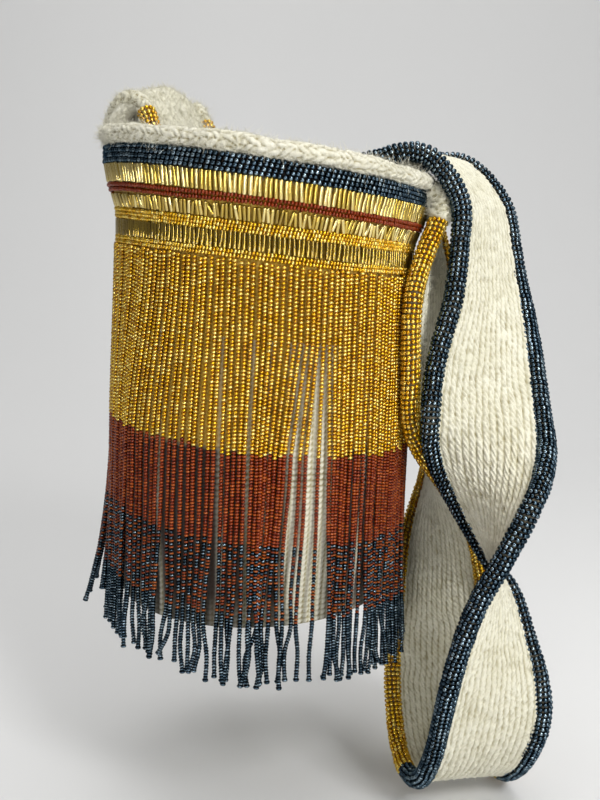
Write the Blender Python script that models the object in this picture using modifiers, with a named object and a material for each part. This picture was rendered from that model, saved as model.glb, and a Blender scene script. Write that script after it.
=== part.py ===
"""Beaded mochila bag: a crochet bucket with bead bands, a four-colour bead fringe and one long strap.

Units are metres, +Z is up, and the origin is the middle of the underside of the base.
The camera side is -Y. The strap is sewn at the back left, crosses the mouth, drops over the right
rim, hangs in a loop with half a twist and comes back up to its second seam on the right side.
Heights are given on the axis. The bag leans a little towards +X and its rows fall towards +X.
"""

import math

import bmesh
import bpy
from mathutils import Vector

# Clearances
GAP = 0.0003
FRINGE_CLEARANCE = 0.0009
WEB_CLEARANCE = 0.0008

# Bag body
BASE_RADIUS = 0.0800
BASE_THICKNESS = 0.0045
BELLY_RADIUS = 0.0840
WAIST_RADIUS = 0.0815
MOUTH_RADIUS = 0.0880
WALL_THICKNESS = 0.0030
RIM_WIDTH = 0.0130
RIM_DEPTH = 0.0085
BELLY_HEIGHT = 0.0700
LEAN = 0.0100
SLOPE_DROP = 0.0130

# Bead rows, with heights from the lowest up
SEED_THICKNESS = 0.0022
BUGLE_THICKNESS = 0.0020
HEADER_DEPTH = 0.0042
LOWER_BUGLE_DEPTH = 0.0082
NET_DEPTH = 0.0054
MIDDLE_BUGLE_DEPTH = 0.0075
RED_BAND_DEPTH = 0.0045
UPPER_BUGLE_DEPTH = 0.0092
DARK_BAND_DEPTH = 0.0090

# Fringe
FRINGE_THICKNESS = 0.0022
GOLD_LENGTH = 0.0947
RED_LENGTH = 0.0467
MIXED_LENGTH = 0.0393
BLUE_LENGTH = 0.0360
FRINGE_OVERHANG = 0.0275
FRINGE_FLARE = 0.0020
PANEL_COUNT = 8
BUNCHES_PER_PANEL = 8
BUNCH_RELIEF = 0.0010
PARTING_AZIMUTH = -66.0
PARTING_ANGLE_GOLD = 1.2
PARTING_ANGLE_LEFT = 8.0
PARTING_ANGLE_RIGHT = 1.0
PANEL_HALF_GAP = 0.0004
TIP_SHARES = (0.96, 0.90, 0.94, 1.0, 0.97, 0.92, 1.0, 0.95)

# Strap
STRAP_WIDTH = 0.0600
WEB_THICKNESS = 0.0030
EDGE_RADIUS = 0.0047
STRAP_STANDOFF = 0.0100
RIM_STANDOFF = 0.0026
PATCH_HALF_ANGLE = 14.5
PATCH_DEPTH = 0.0140
LEFT_SEAM_AZIMUTH = 143.0
ROUTE_STEPS = 2

RING_STEPS = 44
PATCH_STEPS = 6

# Heights worked out from the rows
HEADER_LOW = BLUE_LENGTH + MIXED_LENGTH + RED_LENGTH + GOLD_LENGTH - FRINGE_OVERHANG + GAP
LOWER_BUGLE_LOW = HEADER_LOW + HEADER_DEPTH
NET_LOW = LOWER_BUGLE_LOW + LOWER_BUGLE_DEPTH
MIDDLE_BUGLE_LOW = NET_LOW + NET_DEPTH
RED_BAND_LOW = MIDDLE_BUGLE_LOW + MIDDLE_BUGLE_DEPTH
UPPER_BUGLE_LOW = RED_BAND_LOW + RED_BAND_DEPTH
DARK_BAND_LOW = UPPER_BUGLE_LOW + UPPER_BUGLE_DEPTH
WALL_TOP = DARK_BAND_LOW + DARK_BAND_DEPTH
RIM_TOP = WALL_TOP + GAP + RIM_DEPTH
BAND_OUTER_RADIUS = max(MOUTH_RADIUS, WAIST_RADIUS) + GAP + SEED_THICKNESS
FRINGE_HANG_RADIUS = max(BELLY_RADIUS, BASE_RADIUS)
LOOP_REACH = FRINGE_HANG_RADIUS + FRINGE_CLEARANCE + FRINGE_THICKNESS + EDGE_RADIUS + STRAP_STANDOFF
MOUTH_REACH = MOUTH_RADIUS + RIM_WIDTH / 2 + EDGE_RADIUS + RIM_STANDOFF

# The strap's middle line, hand placed: x and y as shares of the reach at each station, z as a share of
# RIM_TOP. The last two values are the heading and the rise, in degrees, of the line from the back edge to the
# front edge.
STRAP_ROUTE_SHARES = (
    (-0.637, 0.554, 1.010, -127, 0),
    (-0.664, 0.575, 1.034, -127, 0),
    (-0.655, 0.567, 1.090, -127, -4),
    (-0.600, 0.510, 1.138, -127, -7),
    (-0.525, 0.420, 1.152, -128, -7),
    (-0.455, 0.330, 1.115, -128, -4),
    (-0.380, 0.260, 1.025, -128, 0),
    (-0.280, 0.200, 0.915, -128, 0),
    (-0.140, 0.145, 0.820, -128, 0),
    (0.070, 0.085, 0.765, -125, 0),
    (0.300, 0.035, 0.775, -120, 0),
    (0.490, -0.005, 0.850, -115, 0),
    (0.655, -0.020, 0.958, -112, 0),
    (0.810, -0.030, 0.985, -110, 0),
    (0.960, -0.040, 0.996, -110, 0),
    (1.115, -0.065, 0.977, -117, -3),
    (1.266, -0.115, 0.892, -124, -1),
    (1.288, -0.175, 0.785, -131, 0),
    (1.292, -0.210, 0.720, -136, 1),
    (1.290, -0.270, 0.656, -144, 3),
    (1.255, -0.410, 0.526, -165, 3),
    (1.240, -0.545, 0.421, -182, 3),
    (1.242, -0.605, 0.332, -215, -3),
    (1.262, -0.640, 0.243, -245, -13),
    (1.295, -0.640, 0.126, -277, -20),
    (1.308, -0.650, 0.049, -300, -18),
    (1.308, -0.680, -0.040, -318, -18),
    (1.310, -0.700, -0.130, -334, -12),
    (1.302, -0.680, -0.231, -346, -3),
    (1.276, -0.620, -0.324, -350, 3),
    (1.238, -0.465, -0.421, -351, 2),
    (1.188, -0.250, -0.474, -352, -6),
    (1.155, -0.060, -0.453, -354, -10),
    (1.145, 0.080, -0.364, -356, -5),
    (1.150, 0.140, -0.227, -368, 6),
    (1.138, 0.135, -0.081, -390, 20),
    (1.115, 0.102, 0.081, -414, 19),
    (1.071, 0.024, 0.227, -447, 12),
    (0.985, -0.116, 0.372, -470, 5),
    (1.000, -0.190, 0.522, -480, 3),
    (1.006, -0.193, 0.668, -481, 2),
    (1.011, -0.096, 0.765, -470, 0),
    (1.030, -0.022, 0.855, -456, 0),
)
# Stations of the route, counted from its left end
PLAIN_START_STATION = 1
GOLD_START_STATION = 5
HIDDEN_CHANGE_STATION = 9
RIM_STATION = 14
LOOP_STATION = 18
LOW_CHANGE_STATION = 31
END_STATION = len(STRAP_ROUTE_SHARES) - 1

# Colours
CREAM = (0.86, 0.82, 0.72)
GOLD = (0.62, 0.40, 0.06)
PALE_GOLD = (0.72, 0.55, 0.16)
RED_BROWN = (0.24, 0.05, 0.02)
MIXED = (0.12, 0.06, 0.06)
BLUE_GREY = (0.06, 0.09, 0.14)

BAG_NAME = "mochila_bag"


def clear_scene():
    """Starts from an empty scene with the bag's own collection."""
    for item in list(bpy.data.objects):
        bpy.data.objects.remove(item, do_unlink=True)
    collection = bpy.data.collections.new(BAG_NAME)
    bpy.context.scene.collection.children.link(collection)
    return collection


def finish(name, colour, roughness, metallic=0.0):
    """A plain surface for one kind of material."""
    material = bpy.data.materials.new(name)
    material.use_nodes = True
    shader = material.node_tree.nodes["Principled BSDF"]
    shader.inputs["Base Color"].default_value = (*colour, 1.0)
    shader.inputs["Roughness"].default_value = roughness
    shader.inputs["Metallic"].default_value = metallic
    return material


PARTS = clear_scene()
CROCHET = finish("cream_crochet", CREAM, 0.95)
WEBBING = finish("cream_strap_crochet", CREAM, 0.95)
GOLD_SEEDS = finish("gold_seed_beads", GOLD, 0.25, 0.4)
GOLD_BUGLES = finish("gold_bugle_beads", PALE_GOLD, 0.18, 0.5)
RED_SEEDS = finish("red_seed_beads", RED_BROWN, 0.25, 0.2)
MIXED_SEEDS = finish("mixed_seed_beads", MIXED, 0.25, 0.3)
BLUE_SEEDS = finish("blue_seed_beads", BLUE_GREY, 0.22, 0.5)


def body_radius(height):
    """Outer radius of the wall: a belly low down, a slight waist under the bands, a wider mouth."""
    stops = (
        (0.0, BASE_RADIUS),
        (BELLY_HEIGHT, BELLY_RADIUS),
        (NET_LOW, WAIST_RADIUS),
        (DARK_BAND_LOW, MOUTH_RADIUS),
    )
    if height <= 0.0:
        return BASE_RADIUS
    for (low, start), (high, end) in zip(stops, stops[1:]):
        if height <= high:
            share = (height - low) / (high - low)
            ease = share * share * (3.0 - 2.0 * share)
            return start + (end - start) * ease
    return MOUTH_RADIUS


def settle(point, carried_at=None):
    """Leans the upright bag towards +X and lets its rows fall towards +X.

    carried_at is the height that a hanging piece takes its fall from.
    """
    x, y, z = point
    fall_height = z if carried_at is None else carried_at
    fall = x / MOUTH_RADIUS * SLOPE_DROP * fall_height / RIM_TOP
    return Vector((x + LEAN * z / RIM_TOP, y, z - fall))


def add_object(name, mesh, material):
    """Puts a mesh in the bag's collection with its material."""
    item = bpy.data.objects.new(name, mesh)
    item.data.materials.append(material)
    PARTS.objects.link(item)
    return item


def turned(name, profile, material, first=0.0, last=360.0, steps=RING_STEPS, carried_at=None, draw_in=None):
    """A profile of (radius, height) points turned about the axis, then leaned and sloped with the bag.

    draw_in(radius, height, step) is how far a point at that step of the turn is moved towards the axis.
    """
    shape = bmesh.new()
    start = math.radians(first)
    sweep = math.radians(last - first)
    turn = (math.cos(start), math.sin(start))
    corners = [shape.verts.new((r * turn[0], r * turn[1], z)) for r, z in profile]
    whole = last - first >= 360.0
    if whole:
        edges = [shape.edges.new((a, b)) for a, b in zip(corners, corners[1:] + corners[:1])]
        geometry = corners + edges
    else:
        face = shape.faces.new(corners)
        geometry = [face, *face.edges, *face.verts]
    bmesh.ops.spin(
        shape,
        geom=geometry,
        cent=(0.0, 0.0, 0.0),
        axis=(0.0, 0.0, 1.0),
        angle=sweep,
        steps=steps,
        use_merge=whole,
    )
    for corner in shape.verts:
        if draw_in:
            radius = math.hypot(corner.co.x, corner.co.y)
            swept = (math.atan2(corner.co.y, corner.co.x) - start) % math.tau
            corner.co.xy *= 1 - draw_in(radius, corner.co.z, round(swept / sweep * steps)) / radius
        corner.co = settle(corner.co, carried_at)
    bmesh.ops.recalc_face_normals(shape, faces=shape.faces)
    mesh = bpy.data.meshes.new(name)
    shape.to_mesh(mesh)
    shape.free()
    return add_object(name, mesh, material)


def even_heights(low, high, count=2):
    return [low + (high - low) * i / (count - 1) for i in range(count)]


def wall_heights():
    """The heights at which the wall's flanks bend."""
    belly = even_heights(0.0, BELLY_HEIGHT, 3)
    flank = even_heights(BELLY_HEIGHT, HEADER_LOW, 4)
    rows = [LOWER_BUGLE_LOW, NET_LOW, MIDDLE_BUGLE_LOW, RED_BAND_LOW, UPPER_BUGLE_LOW, DARK_BAND_LOW, WALL_TOP]
    return belly + flank[1:] + rows


def sleeve_profile(heights, inner, outer):
    """A wall section through the given heights, its faces following two radius functions of height."""
    up = [(outer(z), z) for z in heights]
    down = [(inner(z), z) for z in reversed(heights)]
    return up + down


def build_base():
    """The round base, a flat crochet disc inside the foot of the wall."""
    radius = BASE_RADIUS - WALL_THICKNESS - GAP
    shape = bmesh.new()
    bmesh.ops.create_cone(
        shape,
        cap_ends=True,
        segments=RING_STEPS,
        radius1=radius,
        radius2=radius,
        depth=BASE_THICKNESS,
    )
    bmesh.ops.translate(shape, vec=(0.0, 0.0, BASE_THICKNESS / 2), verts=shape.verts)
    mesh = bpy.data.meshes.new("base_disc")
    shape.to_mesh(mesh)
    shape.free()
    add_object("base_disc", mesh, CROCHET)


def build_wall():
    """The crochet wall, open at the mouth."""
    profile = sleeve_profile(wall_heights(), lambda z: body_radius(z) - WALL_THICKNESS, body_radius)
    turned("body_wall", profile, CROCHET)


def build_rim():
    """The thick rolled rim on the wall's top edge."""
    middle = MOUTH_RADIUS - WALL_THICKNESS / 2
    centre_height = WALL_TOP + GAP + RIM_DEPTH / 2
    sides = 10
    profile = []
    for i in range(sides):
        angle = 2 * math.pi * (i + 1 / 2) / sides
        round_share = 1 / math.cos(math.pi / sides)
        radius = middle + math.cos(angle) * RIM_WIDTH / 2
        height = centre_height + math.sin(angle) * RIM_DEPTH / 2 * round_share
        profile.append((radius, min(max(height, centre_height - RIM_DEPTH / 2), centre_height + RIM_DEPTH / 2)))
    turned("rim_roll", profile, CROCHET)


def build_bands():
    """The rows of beads that are sewn round the wall under the rim."""
    rows = (
        ("fringe_header_rows", HEADER_LOW, HEADER_DEPTH, SEED_THICKNESS, GOLD_SEEDS),
        ("lower_bugle_row", LOWER_BUGLE_LOW, LOWER_BUGLE_DEPTH, BUGLE_THICKNESS, GOLD_BUGLES),
        ("gold_seed_net", NET_LOW, NET_DEPTH, SEED_THICKNESS, GOLD_SEEDS),
        ("middle_bugle_row", MIDDLE_BUGLE_LOW, MIDDLE_BUGLE_DEPTH, BUGLE_THICKNESS, GOLD_BUGLES),
        ("red_seed_band", RED_BAND_LOW, RED_BAND_DEPTH, SEED_THICKNESS, RED_SEEDS),
        ("upper_bugle_row", UPPER_BUGLE_LOW, UPPER_BUGLE_DEPTH, BUGLE_THICKNESS, GOLD_BUGLES),
        ("dark_seed_band", DARK_BAND_LOW, DARK_BAND_DEPTH, SEED_THICKNESS, BLUE_SEEDS),
    )
    for name, low, depth, thickness, material in rows:
        profile = sleeve_profile(
            (low + GAP / 2, low + depth - GAP / 2),
            lambda z: body_radius(z) + GAP,
            lambda z, t=thickness: body_radius(z) + GAP + t,
        )
        turned(name, profile, material)


def flank_radius(height):
    """Outer radius of the wall's straight flanks between its bends."""
    heights = wall_heights()
    for low, high in zip(heights, heights[1:]):
        if low <= height <= high:
            share = (height - low) / (high - low)
            return body_radius(low) + (body_radius(high) - body_radius(low)) * share
    return body_radius(height)


def fringe_inner(height):
    """The strands lie on the wall down to the belly, then hang free and flare a little."""
    if height >= BELLY_HEIGHT:
        return flank_radius(height) + FRINGE_CLEARANCE
    share = (BELLY_HEIGHT - height) / (BELLY_HEIGHT + FRINGE_OVERHANG)
    return max(BELLY_RADIUS, flank_radius(height)) + FRINGE_CLEARANCE + FRINGE_FLARE * share


def fringe_outer(height):
    return fringe_inner(height) + FRINGE_THICKNESS


def between_bunches(radius, height, step):
    """Draws in the outer face at every other step, so that the strands stand out in upright bunches."""
    on_outer_face = radius > fringe_inner(height) + FRINGE_THICKNESS / 2
    return BUNCH_RELIEF if on_outer_face and step % 2 == 0 else 0.0


def build_fringe():
    """Panels of side-by-side strands, each with its four runs of beads from the header down."""
    pitch = 360.0 / PANEL_COUNT
    runs = (
        ("gold", GOLD_LENGTH, GOLD_SEEDS),
        ("red", RED_LENGTH, RED_SEEDS),
        ("mixed", MIXED_LENGTH, MIXED_SEEDS),
        ("blue", BLUE_LENGTH, BLUE_SEEDS),
    )
    edge_gap = math.degrees(PANEL_HALF_GAP / BELLY_RADIUS)
    for panel in range(PANEL_COUNT):
        first = PARTING_AZIMUTH + panel * pitch
        last = first + pitch
        top = HEADER_LOW - GAP / 2
        for colour, length, material in runs:
            open_right = PARTING_ANGLE_GOLD if colour == "gold" else PARTING_ANGLE_RIGHT
            open_left = PARTING_ANGLE_GOLD if colour == "gold" else PARTING_ANGLE_LEFT
            start = first + (open_right if panel == 0 else edge_gap)
            end = last - (open_left if panel == PANEL_COUNT - 1 else edge_gap)
            depth = length * TIP_SHARES[panel] if colour == "blue" else length
            low = top - depth + GAP
            bends = [height for height in wall_heights() if low + GAP < height < top - GAP]
            profile = sleeve_profile([low, *bends, top], fringe_inner, fringe_outer)
            name = f"fringe_{panel + 1}_{colour}"
            steps = 2 * BUNCHES_PER_PANEL
            turned(name, profile, material, start, end, steps, HEADER_LOW, between_bunches)
            top = low - GAP


def build_strap_patches():
    """The strap's two plain ends, sewn flat on the outside of the bead bands."""
    inner = BAND_OUTER_RADIUS + GAP
    for name, azimuth in (("strap_end_right", 0.0), ("strap_end_left", LEFT_SEAM_AZIMUTH)):
        top = WALL_TOP - 2 * GAP
        profile = sleeve_profile((top - PATCH_DEPTH, top), lambda z: inner, lambda z: inner + WEB_THICKNESS)
        turned(name, profile, WEBBING, azimuth - PATCH_HALF_ANGLE, azimuth + PATCH_HALF_ANGLE, PATCH_STEPS)


def cubic(before, start, end, after, share):
    """Smooth curve value between start and end."""
    tangent_in = (end - before) / 2
    tangent_out = (after - start) / 2
    s2 = share * share
    s3 = s2 * share
    value = start * (2 * s3 - 3 * s2 + 1) + end * (3 * s2 - 2 * s3)
    return value + tangent_in * (s3 - 2 * s2 + share) + tangent_out * (s3 - s2)


def reach_at(station):
    """The strap follows the mouth's size at the rim and the belly's size in its loop, and goes up to its
    second seam outside whichever is wider."""
    if station <= LOW_CHANGE_STATION:
        seam_reach = MOUTH_REACH
        mouth_share = (LOOP_STATION - station) / (LOOP_STATION - RIM_STATION)
    else:
        seam_reach = max(MOUTH_REACH, LOOP_REACH)
        mouth_share = (station - LOW_CHANGE_STATION) / (END_STATION - LOW_CHANGE_STATION)
    mouth_share = min(max(mouth_share, 0.0), 1.0)
    return LOOP_REACH + (seam_reach - LOOP_REACH) * mouth_share


def strap_frames():
    """Stations along the strap as (middle, direction from the back edge to the front edge)."""
    rows = []
    for station, (x, y, z, turn, tilt) in enumerate(STRAP_ROUTE_SHARES):
        reach = reach_at(station)
        rows.append((x * reach, y * reach, z * RIM_TOP, turn, tilt))
    values = []
    for i in range(END_STATION):
        before, after = rows[max(i - 1, 0)], rows[min(i + 2, END_STATION)]
        for step in range(ROUTE_STEPS):
            share = step / ROUTE_STEPS
            values.append([cubic(*four, share) for four in zip(before, rows[i], rows[i + 1], after)])
    values.append(rows[END_STATION])
    frames = []
    for x, y, z, heading, rise in values:
        turn, tilt = math.radians(heading), math.radians(rise)
        level = math.cos(tilt)
        across = Vector((math.cos(turn) * level, math.sin(turn) * level, math.sin(tilt)))
        frames.append((Vector((x, y, z)), across))
    return frames


def stretch(line, first, last):
    """Points of one line of the strap between two stations, straight and drawn in by half a gap at each
    end, so that two stretches which meet at a station face each other squarely."""
    low, high = first * ROUTE_STEPS, last * ROUTE_STEPS
    top = len(line) - 1
    start_run = (line[min(low + 1, top)] - line[max(low - 1, 0)]).normalized()
    end_run = (line[min(high + 1, top)] - line[max(high - 1, 0)]).normalized()
    start = [line[low] + start_run * reach for reach in (GAP / 2, EDGE_RADIUS / 2)]
    end = [line[high] - end_run * reach for reach in (EDGE_RADIUS / 2, GAP / 2)]
    return start + line[low + 1 : high] + end


def build_web(name, frames, first, last):
    """The flat crochet band between the two beaded edges, lofted between its two long sides."""
    half = STRAP_WIDTH / 2 - EDGE_RADIUS - WEB_CLEARANCE
    lines = [[middle + across * half * side for middle, across in frames] for side in (-1, 0, 1)]
    shape = bmesh.new()
    columns = [[shape.verts.new(point) for point in stretch(line, first, last)] for line in lines]
    for left, right in zip(columns, columns[1:]):
        for i in range(len(left) - 1):
            shape.faces.new((left[i], right[i], right[i + 1], left[i + 1]))
    bmesh.ops.recalc_face_normals(shape, faces=shape.faces)
    mesh = bpy.data.meshes.new(name)
    shape.to_mesh(mesh)
    shape.free()
    solid = add_object(name, mesh, WEBBING).modifiers.new("thickness", "SOLIDIFY")
    solid.thickness = WEB_THICKNESS
    solid.offset = 0.0


def build_edge(name, line, first, last, material):
    """A roll along one long edge of the strap, plain crochet or wrapped with beads."""
    curve = bpy.data.curves.new(name, "CURVE")
    curve.dimensions = "3D"
    curve.bevel_depth = EDGE_RADIUS
    curve.bevel_resolution = 2
    curve.use_fill_caps = True
    spline = curve.splines.new("POLY")
    points = stretch(line, first, last)
    spline.points.add(len(points) - 1)
    for knot, point in zip(spline.points, points):
        knot.co = (*point, 1.0)
    add_object(name, curve, material)


def build_strap():
    """The strap in its three stretches, each with a web and its edges, which are plain before the beads start."""
    frames = strap_frames()
    build_web("strap_web_mouth", frames, 0, RIM_STATION)
    build_web("strap_web_drop", frames, RIM_STATION, LOOP_STATION)
    build_web("strap_web_loop", frames, LOOP_STATION, END_STATION)
    edges = (
        ("plain", PLAIN_START_STATION, GOLD_START_STATION, WEBBING),
        ("gold_mouth", GOLD_START_STATION, HIDDEN_CHANGE_STATION, GOLD_SEEDS),
        ("blue_mouth", HIDDEN_CHANGE_STATION, RIM_STATION, BLUE_SEEDS),
        ("blue_drop", RIM_STATION, LOOP_STATION, BLUE_SEEDS),
        ("blue_loop", LOOP_STATION, LOW_CHANGE_STATION, BLUE_SEEDS),
        ("gold_loop", LOW_CHANGE_STATION, END_STATION, GOLD_SEEDS),
    )
    for side, place in ((-1, "back"), (1, "front")):
        line = [middle + across * side * STRAP_WIDTH / 2 for middle, across in frames]
        for stretch_name, first, last, material in edges:
            build_edge(f"strap_{place}_edge_{stretch_name}", line, first, last, material)


def build():
    build_base()
    build_wall()
    build_rim()
    build_bands()
    build_fringe()
    build_strap_patches()
    build_strap()


build()
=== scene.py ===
"""Finish of the beaded mochila bag: glass beads, crochet, a plain studio and the photograph's camera.

Units are metres and +Z is up. The places of the strap, the bead rows and the fringe follow the model's
own sizes, which are repeated here.
"""

import math

import bpy
import numpy as np
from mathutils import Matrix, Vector


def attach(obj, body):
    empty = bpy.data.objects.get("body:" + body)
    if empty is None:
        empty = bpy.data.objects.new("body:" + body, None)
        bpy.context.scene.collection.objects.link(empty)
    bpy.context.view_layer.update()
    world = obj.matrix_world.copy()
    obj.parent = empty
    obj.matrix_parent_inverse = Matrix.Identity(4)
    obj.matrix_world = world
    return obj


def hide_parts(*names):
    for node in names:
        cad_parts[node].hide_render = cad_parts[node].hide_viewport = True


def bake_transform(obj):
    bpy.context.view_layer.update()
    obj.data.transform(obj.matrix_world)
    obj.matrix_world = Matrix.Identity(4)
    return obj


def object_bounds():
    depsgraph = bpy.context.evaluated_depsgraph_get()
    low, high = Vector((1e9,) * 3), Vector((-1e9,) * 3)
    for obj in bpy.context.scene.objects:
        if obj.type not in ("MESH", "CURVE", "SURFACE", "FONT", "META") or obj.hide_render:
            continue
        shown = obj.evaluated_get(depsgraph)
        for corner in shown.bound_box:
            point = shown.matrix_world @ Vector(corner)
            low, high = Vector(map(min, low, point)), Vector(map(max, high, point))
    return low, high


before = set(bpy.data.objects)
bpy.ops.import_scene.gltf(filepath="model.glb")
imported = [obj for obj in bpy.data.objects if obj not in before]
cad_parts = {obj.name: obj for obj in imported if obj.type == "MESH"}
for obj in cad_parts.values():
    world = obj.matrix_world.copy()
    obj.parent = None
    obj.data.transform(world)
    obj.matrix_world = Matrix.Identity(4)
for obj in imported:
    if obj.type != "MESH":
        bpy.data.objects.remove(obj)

CAD_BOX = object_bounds()
TURN = 2.0 * math.pi

# Sizes of the model
GAP = 0.0003
FRINGE_CLEARANCE = 0.0009
BASE_RADIUS = 0.0800
BASE_THICKNESS = 0.0045
BELLY_RADIUS = 0.0840
WAIST_RADIUS = 0.0815
MOUTH_RADIUS = 0.0880
WALL_THICKNESS = 0.0030
RIM_WIDTH = 0.0130
RIM_DEPTH = 0.0085
BELLY_HEIGHT = 0.0700
LEAN = 0.0100
SLOPE_DROP = 0.0130
SEED_THICKNESS = 0.0022
HEADER_DEPTH = 0.0042
LOWER_BUGLE_DEPTH = 0.0082
NET_DEPTH = 0.0054
MIDDLE_BUGLE_DEPTH = 0.0075
RED_BAND_DEPTH = 0.0045
UPPER_BUGLE_DEPTH = 0.0092
DARK_BAND_DEPTH = 0.0090
FRINGE_THICKNESS = 0.0022
GOLD_LENGTH = 0.0947
RED_LENGTH = 0.0467
MIXED_LENGTH = 0.0393
BLUE_LENGTH = 0.0360
FRINGE_OVERHANG = 0.0275
FRINGE_FLARE = 0.0020
PANEL_COUNT = 8
PARTING_AZIMUTH = -66.0
STRAP_WIDTH = 0.0600
WEB_THICKNESS = 0.0030
EDGE_RADIUS = 0.0047
STRAP_STANDOFF = 0.0100
PATCH_HALF_ANGLE = 14.5
PATCH_DEPTH = 0.0140
LEFT_SEAM_AZIMUTH = 143.0

# Heights and reaches that follow from them
HEADER_LOW = BLUE_LENGTH + MIXED_LENGTH + RED_LENGTH + GOLD_LENGTH - FRINGE_OVERHANG + GAP
LOWER_BUGLE_LOW = HEADER_LOW + HEADER_DEPTH
NET_LOW = LOWER_BUGLE_LOW + LOWER_BUGLE_DEPTH
MIDDLE_BUGLE_LOW = NET_LOW + NET_DEPTH
RED_BAND_LOW = MIDDLE_BUGLE_LOW + MIDDLE_BUGLE_DEPTH
UPPER_BUGLE_LOW = RED_BAND_LOW + RED_BAND_DEPTH
DARK_BAND_LOW = UPPER_BUGLE_LOW + UPPER_BUGLE_DEPTH
WALL_TOP = DARK_BAND_LOW + DARK_BAND_DEPTH
RIM_TOP = WALL_TOP + GAP + RIM_DEPTH
BAND_OUTER_RADIUS = MOUTH_RADIUS + GAP + SEED_THICKNESS
REACH = BELLY_RADIUS + FRINGE_CLEARANCE + FRINGE_THICKNESS + EDGE_RADIUS + STRAP_STANDOFF

# The strap's middle line: x and y as shares of REACH, z as a share of RIM_TOP.
# The last two values are the heading and the rise, in degrees, of the line from back edge to front edge.
STRAP_ROUTE_SHARES = (
    (-0.637, 0.554, 1.010, -127, 0),
    (-0.664, 0.575, 1.034, -127, 0),
    (-0.655, 0.567, 1.090, -127, -4),
    (-0.600, 0.510, 1.138, -127, -7),
    (-0.525, 0.420, 1.152, -128, -7),
    (-0.455, 0.330, 1.115, -128, -4),
    (-0.380, 0.260, 1.025, -128, 0),
    (-0.280, 0.200, 0.915, -128, 0),
    (-0.140, 0.145, 0.820, -128, 0),
    (0.070, 0.085, 0.765, -125, 0),
    (0.300, 0.035, 0.775, -120, 0),
    (0.490, -0.005, 0.850, -115, 0),
    (0.655, -0.020, 0.958, -112, 0),
    (0.810, -0.030, 0.985, -110, 0),
    (0.960, -0.040, 0.996, -110, 0),
    (1.115, -0.065, 0.977, -117, -3),
    (1.266, -0.115, 0.892, -124, -1),
    (1.288, -0.175, 0.785, -131, 0),
    (1.292, -0.210, 0.720, -136, 1),
    (1.290, -0.270, 0.656, -144, 3),
    (1.255, -0.410, 0.526, -165, 3),
    (1.240, -0.545, 0.421, -182, 3),
    (1.242, -0.605, 0.332, -215, -3),
    (1.262, -0.640, 0.243, -245, -13),
    (1.295, -0.640, 0.126, -277, -20),
    (1.308, -0.650, 0.049, -300, -18),
    (1.308, -0.680, -0.040, -318, -18),
    (1.310, -0.700, -0.130, -334, -12),
    (1.302, -0.680, -0.231, -346, -3),
    (1.276, -0.620, -0.324, -350, 3),
    (1.238, -0.465, -0.421, -351, 2),
    (1.188, -0.250, -0.474, -352, -6),
    (1.155, -0.060, -0.453, -354, -10),
    (1.145, 0.080, -0.364, -356, -5),
    (1.150, 0.140, -0.227, -368, 6),
    (1.138, 0.135, -0.081, -390, 20),
    (1.115, 0.102, 0.081, -414, 19),
    (1.071, 0.024, 0.227, -447, 12),
    (0.985, -0.116, 0.372, -470, 5),
    (1.000, -0.190, 0.522, -480, 3),
    (1.006, -0.193, 0.668, -481, 2),
    (1.011, -0.096, 0.765, -470, 0),
    (1.030, -0.022, 0.855, -456, 0),
)
PLAIN_START_STATION = 1
GOLD_START_STATION = 5
HIDDEN_CHANGE_STATION = 9
RIM_STATION = 14
LOOP_STATION = 18
LOW_CHANGE_STATION = 31
END_STATION = len(STRAP_ROUTE_SHARES) - 1

# The strap follows the bag before the first place and its own hinge after the second
DROP = ((0.0977, -0.0041, 0.2453), (0.1315, -0.0214, 0.1773))

# Camera
CAMERA_PLACE = (0.0275, -0.506, 0.197)
CAMERA_PITCH = -10.1
CAMERA_LENS = 39.15

MILLIMETRE = 0.001


def body_radius(height):
    """Outer radius of the wall at each height."""
    stops = (
        (0.0, BASE_RADIUS),
        (BELLY_HEIGHT, BELLY_RADIUS),
        (NET_LOW, WAIST_RADIUS),
        (DARK_BAND_LOW, MOUTH_RADIUS),
    )
    height = np.asarray(height, float)
    radius = np.full(height.shape, BASE_RADIUS)
    for (low, start), (high, end) in zip(stops, stops[1:]):
        share = clamp((height - low) / (high - low))
        ease = share * share * (3.0 - 2.0 * share)
        radius = np.where(height > low, start + (end - start) * ease, radius)
    return radius


def settle(points, carried_at=None):
    """Leans upright points towards +X and lets their rows fall towards +X, as the model does."""
    points = np.array(points, float)
    x, z = points[..., 0].copy(), points[..., 2].copy()
    fall_height = z if carried_at is None else carried_at
    points[..., 0] = x + LEAN * z / RIM_TOP
    points[..., 2] = z - x / MOUTH_RADIUS * SLOPE_DROP * fall_height / RIM_TOP
    return points


def on_ring(radius, azimuth, height):
    """Upright points from a radius, an azimuth in radians and a height, all arrays."""
    radius, azimuth, height = np.broadcast_arrays(radius, azimuth, height)
    return np.stack([radius * np.cos(azimuth), radius * np.sin(azimuth), height], axis=-1)


def ease(value, low, high):
    """0 below low, 1 above high and a smooth rise between them."""
    share = clamp((np.asarray(value, float) - low) / (high - low))
    return share * share * (3.0 - 2.0 * share)


def clamp(values):
    return np.clip(values, 0.0, 1.0)


def turns(count):
    """Angles of count even steps round a full turn."""
    return np.arange(count) / count * TURN


def unit(vectors):
    return vectors / np.maximum(np.linalg.norm(vectors, axis=-1, keepdims=True), 1e-12)


def lengths_along(line):
    """The length travelled at each point of a line."""
    return np.concatenate([[0.0], np.cumsum(np.linalg.norm(np.diff(line, axis=0), axis=1))])


def points_at(lengths, travelled, line):
    """The points, and the directions, of a line at set lengths along it."""
    here, ahead, behind = (
        np.stack([np.interp(lengths + step, travelled, line[:, k]) for k in range(3)], axis=1)
        for step in (0.0, MILLIMETRE, -MILLIMETRE)
    )
    return here, unit(ahead - behind)


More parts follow.
